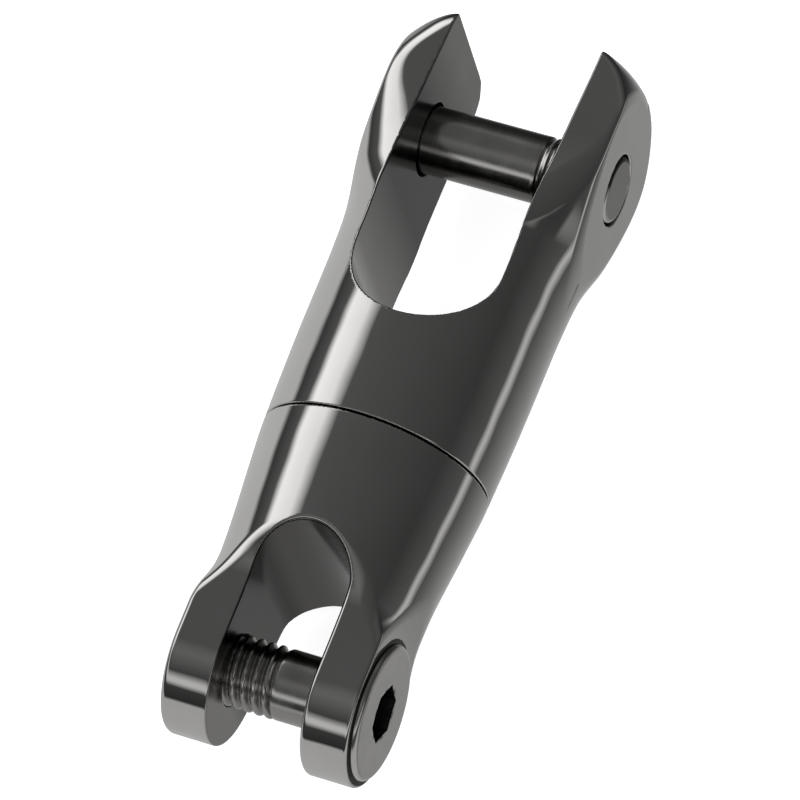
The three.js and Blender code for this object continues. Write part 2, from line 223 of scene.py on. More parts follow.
def slot(x, y, half, end_y, way):
    """A round-ended slot that opens towards +Y (way 1) or -Y (way -1)."""
    along = (y - end_y) * way
    return np.where(along > 0, np.abs(x), np.hypot(x, y - end_y)) - half


def anchor_slot(x, y):
    return slot(x, y, ANCHOR_SLOT_HALF, ANCHOR_SLOT_Y, 1)


def chain_slot(x, y):
    return slot(x, y, CHAIN_SLOT_HALF, CHAIN_SLOT_Y, -1)


def carve_grub_hole(shape, x, y, z, grub):
    """The hole for a grub screw, open on the -Z side."""
    radius = np.hypot(x - grub.mid[0], y - grub.mid[1])
    return carve(shape, np.maximum(radius - GRUB_HOLE_R, z), 0.2)


def anchor_outer(x, y, z):
    shape = ANCHOR_RADIUS.beyond(np.hypot(x, z), y) + wave(x, y, z, 0.006)
    front = ANCHOR_FRONT.beyond(z, y) + wave(z, y, x, 0.006)
    shape = meet(shape, front, np.where(x > 0, ANCHOR_EDGE_PLUS(y), ANCHOR_EDGE_MINUS(y)))
    shape = meet(shape, ANCHOR_BACK.beyond(-z, y), 1.0)
    shape = meet(shape, ANCHOR_WIDTH.beyond(np.abs(x), y), np.where(z > 0, 0.5, 0.3))
    shape = meet(shape, y - ANCHOR_TOP - 0.1, 0.3)
    shape = meet(shape, SEAM_EDGE - y, 0.16)
    return carve(shape, anchor_slot(x, y), 0.22)


def anchor_cuts(x, y, z, shape):
    # round the swivel axis: head well, through bore, then recess and ring groove at the seam
    radius = np.hypot(x, z)
    shape = carve(shape, np.maximum(radius - 7.1, 6.95 - y), 0.3)
    shape = carve(shape, radius - 6.1, 0.25)
    shape = np.maximum(shape, -np.maximum(radius - 9.0, y - 1.1))
    shape = np.maximum(shape, -np.maximum(np.abs(radius - 10.45) - 0.85, y - 1.35))
    # round the pin: clear hole and counterbore in the -X arm, closer hole in the +X arm
    radius = np.hypot(y - ANCHOR_PIN_Y, z)
    shape = carve(shape, np.maximum(radius - CLEAR_HOLE_R, x), 0.12)
    shape = carve(shape, np.maximum(radius - 5.8, x + ANCHOR_SIDE - 2.8), 0.25)
    shape = carve(shape, np.maximum(radius - PIN_HOLE_R, -x), 0.2)
    return carve_grub_hole(shape, x, y, z, ANCHOR_GRUB)


def chain_outer(x, y, z):
    shape = CHAIN_RADIUS.beyond(np.hypot(x, z), y) + wave(x, y, z, 0.006)
    face = np.where(y < CHAIN_PIN_Y, np.hypot(y - CHAIN_PIN_Y, z) - CHAIN_END_R,
                    CHAIN_THICKNESS.beyond(np.abs(z), y))
    shape = meet(shape, face + wave(z, y, x, 0.005), 0.8)
    shape = meet(shape, CHAIN_WIDTH.beyond(np.abs(x), y), np.where(x > 0, 0.35, 0.7))
    shape = meet(shape, y + SEAM_EDGE, 0.14)
    # the slot's edge is crisper on the -X arm
    edge = np.where(x > -2, 0.5, 0.5 - 0.3 * np.clip((-x - 2) / 3, 0, 1))
    return carve(shape, chain_slot(x, y), edge)


def chain_cuts(x, y, z, shape):
    # the bolt's blind bore
    shape = carve(shape, np.maximum(np.hypot(x, z) - 4.65, -9.45 - y), 0.25)
    # the pin's hole, with a shallow seat for its head on the +X side
    radius = np.hypot(y - CHAIN_PIN_Y, z)
    shape = carve(shape, radius - PIN_HOLE_R, 0.12)
    shape = carve(shape, np.maximum(radius - 8.0, CHAIN_PIN.high[0] - 1.45 - x), 0.08)
    shape = carve_grub_hole(shape, x, y, z, CHAIN_GRUB)
    radius = np.hypot(x, y - LOCK_PIN.mid[1])
    return carve(shape, np.maximum(radius - 1.12, z + 3.5), 0.2)


# ---------------------------------------------------------------------------
# mesh building
# ---------------------------------------------------------------------------
def new_object(name, points, faces, normals=None):
    """A smooth-shaded object from points in mm; normals go with an array of quads."""
    points = (points + [0, SEAM, 0]) / MM
    mesh = bpy.data.meshes.new(name)
    if normals is None:
        mesh.from_pydata(points.tolist(), [], faces)
    else:
        mesh.vertices.add(len(points))
        mesh.vertices.foreach_set("co", points.astype(np.float32).ravel())
        mesh.loops.add(faces.size)
        mesh.loops.foreach_set("vertex_index", faces.astype(np.int32).ravel())
        mesh.polygons.add(len(faces))
        mesh.polygons.foreach_set("loop_start", np.arange(0, faces.size, 4, dtype=np.int32))
        mesh.update(calc_edges=True)
    mesh.validate()
    mesh.polygons.foreach_set("use_smooth", np.ones(len(mesh.polygons), bool))
    if normals is not None:
        mesh.normals_split_custom_set_from_vertices(normals.astype(np.float32).tolist())
    mesh.update()
    piece = bpy.data.objects.new(name, mesh)
    bpy.context.scene.collection.objects.link(piece)
    return piece


def gradient(field, points, reach):
    slopes = np.empty_like(points)
    for axis in range(3):
        shift = np.zeros(3)
        shift[axis] = reach
        slopes[:, axis] = (field(*(points + shift).T) - field(*(points - shift).T)) / (2 * reach)
    return slopes


def cell_points(values, inside):
    """One point for each grid cell the surface crosses: the mean of its edge crossings."""
    nx, ny, nz = inside.shape
    corners = list(itertools.product((0, 1), repeat=3))
    filled = np.zeros((nx - 1, ny - 1, nz - 1), np.uint8)
    for i, j, k in corners:
        filled += inside[i:nx - 1 + i, j:ny - 1 + j, k:nz - 1 + k]
    cells = np.argwhere((filled > 0) & (filled < 8))
    total = np.zeros((len(cells), 3))
    count = np.zeros(len(cells))
    for corner in corners:
        for axis in range(3):
            if corner[axis]:
                continue
            other = list(corner)
            other[axis] = 1
            start = values[tuple((cells + corner).T)].astype(float)
            end = values[tuple((cells + other).T)].astype(float)
            cross = (start < 0) != (end < 0)
            place = np.array(corner, float)[None] + np.zeros((len(cells), 3))
            place[:, axis] = np.where(cross, start / np.where(cross, start - end, 1), 0)
            total[cross] += place[cross]
            count[cross] += 1
    return cells, cells + total / count[:, None]


def cell_quads(inside, cells):
    """A quad round each grid edge the surface crosses, wound to face outwards."""
    index = np.full([size - 1 for size in inside.shape], -1, np.int32)
    index[tuple(cells.T)] = np.arange(len(cells))
    quads = []
    for axis in range(3):
        side, other = (axis + 1) % 3, (axis + 2) % 3
        change = np.diff(inside.astype(np.int8), axis=axis)
        edges = np.argwhere(change)
        for across in (side, other):
            edges = edges[(edges[:, across] > 0)
                          & (edges[:, across] < inside.shape[across] - 1)]
        leaving = change[tuple(edges.T)] < 0
        ring = []
        for back_side, back_other in ((1, 1), (0, 1), (0, 0), (1, 0)):
            cell = edges.copy()
            cell[:, side] -= back_side
            cell[:, other] -= back_other
            ring.append(index[tuple(cell.T)])
        ring = np.stack(ring, 1)
        ring[~leaving] = ring[~leaving][:, ::-1]
        quads.append(ring)
    quads = np.concatenate(quads)
    return quads[(quads >= 0).all(1)]


def surface(field, low, high, step):
    """Quads on the zero level of a field, with each point moved onto the level."""
    axes = [np.arange(low[i] - 1.5 * step, high[i] + 2.5 * step, step) for i in range(3)]
    values = np.empty([len(axis) for axis in axes], np.float32)
    grid_y, grid_z = np.meshgrid(axes[1], axes[2], indexing="ij")
    for i, x in enumerate(axes[0]):
        values[i] = field(np.full_like(grid_y, x), grid_y, grid_z)
    inside = values < 0
    cells, points = cell_points(values, inside)
    quads = cell_quads(inside, cells)
    points = np.stack([axes[i][0] + points[:, i] * step for i in range(3)], 1)

    def clamped(move, limit):
        length = np.linalg.norm(move, axis=1, keepdims=True)
        return move * np.minimum(1, limit * step / np.maximum(length, 1e-9))

    start = points.copy()
    for _ in range(4):
        slopes = gradient(field, points, 0.02)
        steepness = np.maximum((slopes * slopes).sum(1), 0.2)
        move = slopes * (field(*points.T) / steepness)[:, None]
        points = points - clamped(move, 0.5)
    points = start + clamped(points - start, 0.9)
    normals = gradient(field, points, 0.04)
    normals /= np.maximum(np.linalg.norm(normals, axis=1, keepdims=True), 1e-9)
    return points, quads, normals


def float_attribute(piece, name, values):
    layer = piece.data.attributes.new(name, "FLOAT", "POINT")
    layer.data.foreach_set("value", values.astype(np.float32))


def smoothstep(x, start, end):
    t = np.clip((x - start) / (end - start), 0, 1)
    return t * t * (3 - 2 * t)


def rings_object(name, axis, rings, centre=(0, 0), count=SEGMENTS, closed=True):
    """Skin over rings round an axis.

    A ring is (radius, place along the axis), each a number or one value per point. A closed
    piece ends on a point at each end; otherwise the last ring joins the first.
    """
    angle = np.linspace(0, 2 * math.pi, count, endpoint=False)
    shift = "XYZ".index(axis)
    points = []
    for radius, place in rings:
        place = np.broadcast_to(np.asarray(place, float), (count,))
        ring = np.stack([place, centre[0] + radius * np.cos(angle),
                         centre[1] + radius * np.sin(angle)], 1)
        points.append(np.roll(ring, shift, axis=1))
    total = len(points)
    points = np.concatenate(points)
    i = np.arange(count)
    j = (i + 1) % count
    faces = []
    for k in range(total - 1 if closed else total):
        here, there = k * count, ((k + 1) % total) * count
        faces += np.stack([here + i, here + j, there + j, there + i], 1).tolist()
    if closed:
        first, last = total * count, (total - 1) * count
        ends = [points[:count].mean(0), points[-count:].mean(0)]
        points = np.concatenate([points, ends])
        faces += np.stack([np.full(count, first), j, i], 1).tolist()
        faces += np.stack([np.full(count, first + 1), i + last, j + last], 1).tolist()
    piece = new_object(name, points, faces)
    shell = bmesh.new()
    shell.from_mesh(piece.data)
    bmesh.ops.recalc_face_normals(shell, faces=shell.faces)
    if shell.calc_volume(signed=True) < 0:
        bmesh.ops.reverse_faces(shell, faces=shell.faces)
    shell.to_mesh(piece.data)
    shell.free()
    piece.data.set_sharp_from_angle(angle=math.radians(32))
    return piece


def straight_rings(radius, start, end, count):
    return [(radius, place) for place in np.linspace(start, end, count)]


def round_rings(radius0, place0, radius1, place1, steps):
    """A quarter round that leaves the first ring along the radius."""
    angles = [math.pi / 2 * k / steps for k in range(1, steps + 1)]
    return [(radius0 + (radius1 - radius0) * math.sin(a),
             place0 + (place1 - place0) * (1 - math.cos(a))) for a in angles]


def thread_rings(start, end, crest, root, pitch, count=SEGMENTS, step=0.055):
    """A helical thread between two places."""
    rings = []
    total = max(8, int(abs(end - start) / step))
    turn = np.linspace(0, 1, count, endpoint=False)
    for k in range(total + 1):
        place = start + (end - start) * k / total
        ridge = np.abs(2 * ((place / pitch - turn) % 1.0) - 1)  # 1 at the crest, 0 at the root
        flank = np.clip((ridge - 0.12) / 0.72, 0, 1)
        flank = flank * flank * (3 - 2 * flank) * 0.45 + flank * 0.55
        rings.append((crest - (crest - root) * (1 - flank), place))
    return rings


def socket_rings(face, sign, across, depth, face_r, count=SEGMENTS, chamfer=0.35, turn=0.0,
                 lead_in=0.05):
    """From a hexagon socket's floor out to a flat face of radius face_r.

    across is the width across flats; sign is +1 if the face looks along +axis.
    """
    angle = np.linspace(0, 2 * math.pi, count, endpoint=False)
    from_flat = (angle - turn + math.pi / 6) % (math.pi / 3) - math.pi / 6
    hexagon = across / 2 / np.cos(from_flat)
    floor_place = face - sign * depth
    rings = [(hexagon * 0.35, floor_place - sign * 0.25),
             (hexagon * 0.7, floor_place - sign * 0.12), (hexagon * 0.985, floor_place)]
    for f in (0.0, 0.25, 0.5, 0.75):
        place = floor_place + (face - sign * chamfer - floor_place) * f + sign * 0.02
        rings.append((hexagon, place))
    # the lead-in cone cuts the hexagon's flats deeper than its corners
    lead_r = across / math.sqrt(3) + lead_in
    lip = face - sign * (lead_r - hexagon) * (0.6 if lead_in else 0.12)
    rings += [(hexagon, lip), (lead_r, face)]
    rings += [(lead_r + (face_r - lead_r) * f, face) for f in (0.03, 0.3, 0.6, 0.97)]
    return rings + [(face_r, face)]


# ---------------------------------------------------------------------------
# materials
# ---------------------------------------------------------------------------
class Shader:
    """A cleared node tree with its output and surface node, and short calls for the rest."""

    def __init__(self, tree, output, surface_kind, coord):
        self.tree = tree
        tree.nodes.clear()
        end = self.add(output)
        self.surface = self.add(surface_kind)
        tree.links.new(self.surface.outputs[0], end.inputs["Surface"])
        self.coord = self.add("ShaderNodeTexCoord").outputs[coord]

    def feed(self, node, inputs):
        """Link or set inputs; a colour is given as three numbers."""
        for key, value in inputs.items():
            socket = node.inputs[key]
            if isinstance(value, bpy.types.NodeSocket):
                self.tree.links.new(value, socket)
            elif socket.type == "RGBA":
                socket.default_value = (*value, 1.0)
            else:
                socket.default_value = value

    def add(self, kind, inputs=None, **settings):
        node = self.tree.nodes.new(kind)
        for key, value in settings.items():
            setattr(node, key, value)
        self.feed(node, inputs or {})
        return node

    def noise(self, scale, detail, stretch=None):
        source = self.coord
        if stretch:
            mapping = self.add("ShaderNodeMapping", {"Scale": stretch, "Vector": source})
            source = mapping.outputs["Vector"]
        return self.add("ShaderNodeTexNoise", {
            "Scale": scale, "Detail": detail, "Vector": source}).outputs["Fac"]

    def remap(self, value, to=(0, 1), span=(0.3, 0.7)):
        """Stretch span onto to; the default span is where most of a noise lies."""
        return self.add("ShaderNodeMapRange", {
            "From Min": span[0], "From Max": span[1], "To Min": to[0], "To Max": to[1],
            "Value": value}).outputs["Result"]

    def maths(self, operation, *values):
        inputs = dict(enumerate(values))
        return self.add("ShaderNodeMath", inputs, operation=operation).outputs[0]

    def plus(self, value, other):
        return self.maths("ADD", value, other)

    def times(self, value, by):
        return self.maths("MULTIPLY", value, by)

    def mix(self, factor, low, high):
        # 6, 7 and output 2 are the Mix node's colour sockets
        return self.add("ShaderNodeMix", {0: factor, 6: low, 7: high},
                        data_type="RGBA").outputs[2]

    def attribute(self, name):
        return self.add("ShaderNodeAttribute", attribute_name=name).outputs["Fac"]

    def bump(self, height, strength, distance):
        return self.add("ShaderNodeBump", {
            "Strength": strength, "Distance": distance, "Height": height}).outputs["Normal"]

    def finish(self, **inputs):
        """Set the surface's inputs, with spaces written as underscores."""
        self.feed(self.surface, {key.replace("_", " "): inputs[key] for key in inputs})


def new_material(name):
    material = bpy.data.materials.new(name)
    material.use_nodes = True
    return material, Shader(material.node_tree, "ShaderNodeOutputMaterial",
                            "ShaderNodeBsdfPrincipled", "Object")


def polished_steel(name):
    """Mirror-polished stainless, satin where it is machined, with painted shade in the seam, in
    the bores and on the slot's walls.
    """
    material, nodes = new_material(name)
    satin = nodes.attribute("satin")
    recess_shade = nodes.attribute("recess_shade")
    blotch = nodes.noise(scale=160, detail=3)
    fine = nodes.noise(scale=2600, detail=2)
    hair = nodes.noise(scale=900, detail=2, stretch=(6, 0.35, 6))
    base = nodes.mix(nodes.remap(blotch), low=(0.66, 0.652, 0.638), high=(0.70, 0.693, 0.682))
    base = nodes.mix(nodes.times(satin, by=0.9), low=base, high=(0.50, 0.49, 0.475))
    # painted shade: darker on the slot's walls, in the seam and inside the bores
    base = nodes.mix(nodes.attribute("slot_shade"), low=base, high=(0.03, 0.028, 0.026))
    base = nodes.mix(recess_shade, low=base, high=(0.02, 0.018, 0.016))
    rough = nodes.plus(nodes.remap(hair, to=(0.012, 0.03), span=(0.35, 0.75)),
                       nodes.remap(blotch, to=(0.0, 0.012)))
    rough = nodes.plus(rough, nodes.times(satin, by=nodes.remap(blotch, to=(0.12, 0.2))))
    rough = nodes.plus(rough, nodes.times(recess_shade, by=0.4))
    grain = nodes.times(nodes.times(fine, by=satin), by=0.35)
    height = nodes.plus(nodes.times(hair, by=0.15), grain)
    nodes.finish(Base_Color=base, Metallic=1.0, Roughness=rough,
                 Normal=nodes.bump(height, strength=0.08, distance=0.00002))
    return material


def turned_steel(name, axis, colour, rough):
    """Lathe-turned steel: fine rings round the axis, darker blotches, and painted shade in the
    slot and in the recesses.
    """
    material, nodes = new_material(name)
    stretch = tuple(1 if letter == axis else 0.02 for letter in "XYZ")
    rings = nodes.noise(scale=5200, detail=3, stretch=stretch)
    wide = nodes.noise(scale=900, detail=2, stretch=stretch)
    blotch = nodes.noise(scale=420, detail=4)
    fine = nodes.noise(scale=5200, detail=2)
    darker = tuple(channel * 0.86 for channel in colour)
    base = nodes.mix(nodes.remap(blotch), low=darker, high=colour)
    # painted shade: darker on the shank between the arms, in the thread roots, the socket, the
    # pin's end and the gap under the head
    base = nodes.mix(nodes.attribute("slot_shade"), low=base, high=(0.04, 0.038, 0.035))
    base = nodes.mix(nodes.attribute("recess_shade"), low=base, high=(0.03, 0.028, 0.025))
    roughness = nodes.plus(nodes.remap(rings, to=rough), nodes.remap(blotch, to=(-0.03, 0.05)))
    roughness = nodes.plus(roughness, nodes.times(nodes.attribute("recess_shade"), by=0.25))
    height = nodes.plus(nodes.times(rings, by=0.5),
                        nodes.plus(wide, nodes.times(fine, by=0.3)))
    nodes.finish(Base_Color=base, Metallic=1.0, Roughness=roughness,
                 Normal=nodes.bump(height, strength=0.06, distance=0.00003))
    return material


def bronze(name):
    material, nodes = new_material(name)
    blotch = nodes.noise(scale=500, detail=4)
    rings = nodes.noise(scale=5200, detail=2, stretch=(0.02, 1, 0.02))
    base = nodes.mix(nodes.remap(blotch), low=(0.42, 0.25, 0.10), high=(0.62, 0.40, 0.18))
    nodes.finish(Base_Color=base, Metallic=1.0, Roughness=nodes.remap(rings, to=(0.28, 0.42)),
                 Normal=nodes.bump(rings, strength=0.2, distance=0.00003))
    return material


def polymer(name, low, high, rough):
    material, nodes = new_material(name)
    grain = nodes.noise(scale=3000, detail=4)
    blotch = nodes.noise(scale=300, detail=3)
    nodes.finish(Base_Color=nodes.mix(nodes.remap(blotch), low=low, high=high),
                 Roughness=nodes.remap(grain, to=rough),
                 Normal=nodes.bump(grain, strength=0.25, distance=0.00004))
    return material


BODY_STEEL = polished_steel("polished_stainless")
PIN_STEEL = turned_steel("turned_stainless", "X", colour=(0.72, 0.71, 0.69), rough=(0.15, 0.2))
SCREW_STEEL_Z = turned_steel("screw_steel_z", "Z", colour=(0.5, 0.49, 0.47), rough=(0.22, 0.34))
SCREW_STEEL_Y = turned_steel("screw_steel_y", "Y", colour=(0.5, 0.49, 0.47), rough=(0.2, 0.32))
WASHER_STEEL = turned_steel("washer_steel", "Y", colour=(0.55, 0.54, 0.52), rough=(0.2, 0.3))
BRONZE = bronze("bush_bronze")
POLYMER = polymer("washer_polymer", low=(0.62, 0.60, 0.52), high=(0.70, 0.68, 0.60),
                  rough=(0.42, 0.55))
RUBBER = polymer("seal_rubber", low=(0.012, 0.012, 0.012), high=(0.03, 0.03, 0.03),
                 rough=(0.5, 0.7))


def finish_piece(piece, body, node, material):
    piece.data.materials.append(material)
    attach(piece, body)
    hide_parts(node)


# ---------------------------------------------------------------------------
# the forks
# ---------------------------------------------------------------------------
def fork(node, body, outer, cuts, low, high, slot_field, slot_unshaded):
    def field(x, y, z):
        return cuts(x, y, z, outer(x, y, z))

    points, quads, normals = surface(field, np.array(low), np.array(high), GRID_STEP)
    piece = new_object(node + "_polished", points, quads, normals)
    x, y, z = points.T
    in_slot = 1 - smoothstep(np.abs(slot_field(x, y)), 0.02, 0.2)
    in_cut = smoothstep(np.abs(outer(x, y, z)), 0.14, 0.3)
    near_seam = ((1 - smoothstep(np.abs(y), SEAM_EDGE + 0.01, SEAM_EDGE + 0.06))
                 * (1 - smoothstep(np.hypot(x, z), 12.72, 12.95)))
    float_attribute(piece, "satin", np.maximum(in_slot, in_cut))
    # painted shade: darker in the seam between the forks and inside the bores and holes
    float_attribute(piece, "recess_shade", np.maximum(0.8 * near_seam, 0.75 * in_cut * (1 - in_slot)))
    # painted shade: the slot's walls darker, by the table of places along y
    float_attribute(piece, "slot_shade", in_slot * (1 - np.interp(y, *slot_unshaded)))
    finish_piece(piece, body, node, BODY_STEEL)


fork("anchor_fork", "anchor_body", anchor_outer, anchor_cuts,
     [-ANCHOR_SIDE, SEAM_EDGE, -13.6], [ANCHOR_SIDE, ANCHOR_TOP + 0.1, 13.6],
     anchor_slot, ANCHOR_SLOT_UNSHADED)
fork("chain_fork", "chain_body", chain_outer, chain_cuts,
     [-13.3, CHAIN_PIN_Y - CHAIN_END_R, -13.3], [13.3, -SEAM_EDGE, 13.3],
     chain_slot, CHAIN_SLOT_UNSHADED)


# ---------------------------------------------------------------------------
# the clevis pins; their rings are (radius, x)
# ---------------------------------------------------------------------------
def pin_places(pin, centre_y):
    """Each vertex's x, radius about the pin, and bearing in degrees from +Y towards +Z."""
    places = np.empty(len(pin.data.vertices) * 3, np.float32)
    pin.data.vertices.foreach_get("co", places)
    x, y, z = (places.reshape(-1, 3) * MM - [0, SEAM, 0]).T
    bearing = np.degrees(np.arctan2(z, y - centre_y)) % 360
    return x, np.hypot(y - centre_y, z), bearing


def shank_shade(x, radius, bearing, half_length, under):
    """Painted shade on the shank between the arms: by under on its -Y side, by 0.45 on its +Y
    side.
    """
    shank = (radius > 3) * (radius < 4.3) * (np.abs(x) < half_length)
    minus_y = under * smoothstep(bearing, 142, 154) * (1 - smoothstep(bearing, 196, 226))
    plus_y = 0.45 * (1 - smoothstep(np.minimum(bearing, 360 - bearing), 60, 78))
    return shank * np.maximum(minus_y, plus_y)


def chain_pin():
    """Head on the +X side, thread on the -X side."""
    tip, face = CHAIN_PIN.low[0], CHAIN_PIN.high[0]
    head_r = CHAIN_PIN.half[1]
    seat = face - 1.35
    shadow_skirt = CHAIN_SIDE + 0.03  # the head's dark skirt stands just off the fork's side; painted black, it is a painted shadow for the gap round the head
    rings = socket_rings(face, 1, 5.7, 3.2, head_r - 0.7, turn=CHAIN_HEX_TURN, chamfer=0.15,
                         lead_in=0.0)
    rings += round_rings(head_r - 0.6, face, head_r, face - 0.6, 12)
    rings += [
        (head_r, shadow_skirt + 0.09), (head_r, shadow_skirt + 0.05), (head_r + 0.03, shadow_skirt + 0.01),
        (head_r + 0.08, shadow_skirt), (8.12, shadow_skirt), (8.19, shadow_skirt - 0.03), (8.22, shadow_skirt - 0.1),
        (8.1, shadow_skirt - 0.3), (7.7, seat + 0.15), (7.5, seat), (CHAIN_PIN_R + 0.25, seat),
        (CHAIN_PIN_R, seat - 0.2)]
    rings += straight_rings(CHAIN_PIN_R, seat - 0.5, 0.25, 24)
    rings += [(CHAIN_PIN_R - 0.02, 0.12), (3.62, 0.0), (3.5, -0.1), (3.5, -0.18)]
    rings += thread_rings(-0.22, tip + 0.45, PIN_CREST_R, 3.42, PIN_PITCH)
    rings += [(3.3, tip + 0.25), (2.9, tip), (1.4, tip)]
    pin = rings_object("chain_pin_turned", "X", rings, (CHAIN_PIN_Y, 0))

    x, radius, bearing = pin_places(pin, CHAIN_PIN_Y)
    # painted shade: darker thread roots, a darker socket, and the skirt and underside of the head
    # painted black as the shadow in the gap round the head
    roots = (x < 0.05) * (x > tip) * 0.4 * (1 - smoothstep(radius, 3.47, 3.9))
    under_head = ((x > seat - 0.3) * (1 - smoothstep(x, shadow_skirt + 0.07, shadow_skirt + 0.2))
                  * (radius > 4.5) * 0.97)
    socket = (x > face - 3.6) * (x < face - 0.05) * (radius < 3.45) * 0.85
    float_attribute(pin, "slot_shade", shank_shade(x, radius, bearing, half_length=5.6, under=0.45))
    float_attribute(pin, "recess_shade", np.maximum(roots, np.maximum(under_head, socket)))
    finish_piece(pin, "chain_pin_body", "chain_pin", PIN_STEEL)


def anchor_pin():
    """Head on the -X side, thread and rounded tip on the +X side."""
    face, tip = ANCHOR_PIN.low[0], ANCHOR_PIN.high[0]
    head_r = ANCHOR_PIN.half[1]
    shank_r = ANCHOR_PIN_R
    rings = socket_rings(face, -1, 5.0, 3.0, head_r - 0.35)
    rings += round_rings(head_r - 0.35, face, head_r, face + 0.35, 6)
    rings += [(head_r, face + 2.35), (head_r - 0.12, face + 2.5), (shank_r + 0.2, face + 2.5),
              (shank_r, face + 2.7)]
    rings += straight_rings(shank_r, face + 3.0, 5.1, 34)
    for groove_x in (5.15, 6.0):
        # (groove's depth, x from its start)
        rings += [(shank_r - depth, groove_x + offset) for depth, offset in (
            (0.06, 0.05), (0.28, 0.17), (0.27, 0.24), (0.16, 0.48), (0.05, 0.70), (0, 0.82))]
    rings += [(shank_r - 0.1, 6.9), (3.5, 7.05)]
    rings += thread_rings(7.1, tip - 0.75, PIN_CREST_R, 3.32, PIN_PITCH)
    rings += [(3.5, tip - 0.72), (3.8, tip - 0.68), (3.84, tip - 0.62)]
    rings += [(3.84 - 0.58 * (1 - math.cos(a)), tip - 0.58 + 0.6 * math.sin(a))
              for a in np.linspace(0.1, math.pi / 2, 10)]
    rings += [(radius, tip + 0.02) for radius in (3.1, 2.6, 1.9, 1.2)]
    pin = rings_object("anchor_pin_turned", "X", rings, (ANCHOR_PIN_Y, 0))

    x, radius, bearing = pin_places(pin, ANCHOR_PIN_Y)
    # painted shade: a darker thread, most of it inside the +X arm's hole, and a darker end face;
    # the end's rim carries a painted shadow from its +Y side round past its +Z side
    thread = (x > 6.95) * (x < tip - 0.6) * 0.9
    tip_face = (x > tip - 0.1) * (radius < 3.3) * 0.45
    rim_shadow = (x > 13.1) * (radius > 3.3) * (1 - smoothstep(bearing, 108, 122)) * (x < 13.9)
    float_attribute(pin, "slot_shade", shank_shade(x, radius, bearing, half_length=8.7, under=0.8))
    float_attribute(pin, "recess_shade", np.maximum(np.maximum(thread, tip_face), 0.93 * rim_shadow))
    finish_piece(pin, "anchor_pin_body", "anchor_pin", PIN_STEEL)


chain_pin()
anchor_pin()


# ---------------------------------------------------------------------------
# the screws and the lock pin; their rings are (radius, place along the axis)
# ---------------------------------------------------------------------------
def grub_screw(node, box, body):
    """Socket on the -Z end."""
    face, tip = box.low[2], box.high[2]
    radius = box.half[0]
    rings = socket_rings(face, -1, 2.0, 1.6, radius - 0.3, count=GRUB_SEGMENTS, chamfer=0.12)
    rings += round_rings(radius - 0.3, face, radius - 0.04, face + 0.25, 4)
    rings += thread_rings(face + 0.28, tip - 0.3, radius, radius - 0.4, 0.7,
                          count=GRUB_SEGMENTS, step=0.05)
    rings += [(radius - 0.45, tip - 0.12), (radius - 0.7, tip), (0.5, tip)]
    screw = rings_object(node + "_threaded", "Z", rings, box.mid[:2], GRUB_SEGMENTS)
    finish_piece(screw, body, node, SCREW_STEEL_Z)


def swivel_bolt():
    """Head towards +Y, thread on the -Y side of the seam."""
    tip, face = BOLT.low[1], BOLT.high[1]
    head_r = BOLT.half[0]
    shank_r = 4.5
    rings = socket_rings(face, 1, 6.0, 3.1, head_r - 0.45)
    rings += round_rings(head_r - 0.45, face, head_r, face - 0.45, 5)
    rings += [(head_r, face - 2.75), (head_r - 0.15, face - 2.9), (4.7, face - 2.9),
              (shank_r, face - 3.1)]
    rings += straight_rings(shank_r, 8.0, 0.4, 8)
    rings += [(4.45, 0.1), (3.95, -0.2)]
    rings += thread_rings(-0.3, tip + 0.6, shank_r, 3.75, 1.5, step=0.08)
    rings += [(3.6, tip + 0.3), (3.2, tip), (1.5, tip)]
    bolt = rings_object("swivel_bolt_turned", "Y", rings)
    finish_piece(bolt, "chain_body", "swivel_bolt", SCREW_STEEL_Y)


def lock_pin():
    """A plain cross pin along Z, rounded at its -Z end."""
    start, end = LOCK_PIN.low[2], LOCK_PIN.high[2]
    radius = LOCK_PIN.half[0]
    rings = [(0.3, start)] + round_rings(0.3, start, radius, start + 0.3, 6)
    rings += straight_rings(radius, start + 1, end - 0.5, 6)
    rings += [(radius, end - 0.2), (radius - 0.2, end), (0.3, end)]
    pin = rings_object("bolt_lock_pin_turned", "Z", rings, (0, LOCK_PIN.mid[1]), LOCK_SEGMENTS)
    finish_piece(pin, "chain_body", "bolt_lock_pin", SCREW_STEEL_Z)


grub_screw("anchor_pin_grub_screw", ANCHOR_GRUB, "anchor_grub_body")
grub_screw("chain_pin_grub_screw", CHAIN_GRUB, "chain_grub_body")
swivel_bolt()
lock_pin()


# ---------------------------------------------------------------------------
# the collars round the bolt; their profiles are (radius, y)
# ---------------------------------------------------------------------------
def collar(node, finish, profile, material):
    """A turned ring whose profile closes on itself."""
    ring = rings_object(f"{node}_{finish}", "Y", profile, count=COLLAR_SEGMENTS, closed=False)
    finish_piece(ring, "anchor_body", node, material)


def washer_profile(bore_r, box, edge=0.12):
    outer_r, low, high = box.half[0], box.low[1], box.high[1]
    return [(bore_r + edge, low), (outer_r - edge, low), (outer_r, low + edge),
            (outer_r, high - edge), (outer_r - edge, high), (bore_r + edge, high),
            (bore_r, high - edge), (bore_r, low + edge)]


def bush_profile():
    """A sleeve with a flange at its +Y end."""
    low, high = BUSH.low[1], BUSH.high[1]
    flange_r = BUSH.half[0]
    return [(4.8, low), (5.8, low), (5.95, low + 0.15), (5.95, high - 0.8),
            (flange_r - 0.1, high - 0.8), (flange_r, high - 0.7), (flange_r, high - 0.12),
            (flange_r - 0.12, high), (4.78, high), (4.66, high - 0.12), (4.66, low + 0.15)]


def o_ring_profile():
    cord_r = O_RING.half[1]
    ring_r = O_RING.half[0] - cord_r
    return [(ring_r + cord_r * math.cos(a), O_RING.mid[1] + cord_r * math.sin(a))
            for a in np.linspace(0, 2 * math.pi, 20, endpoint=False)]


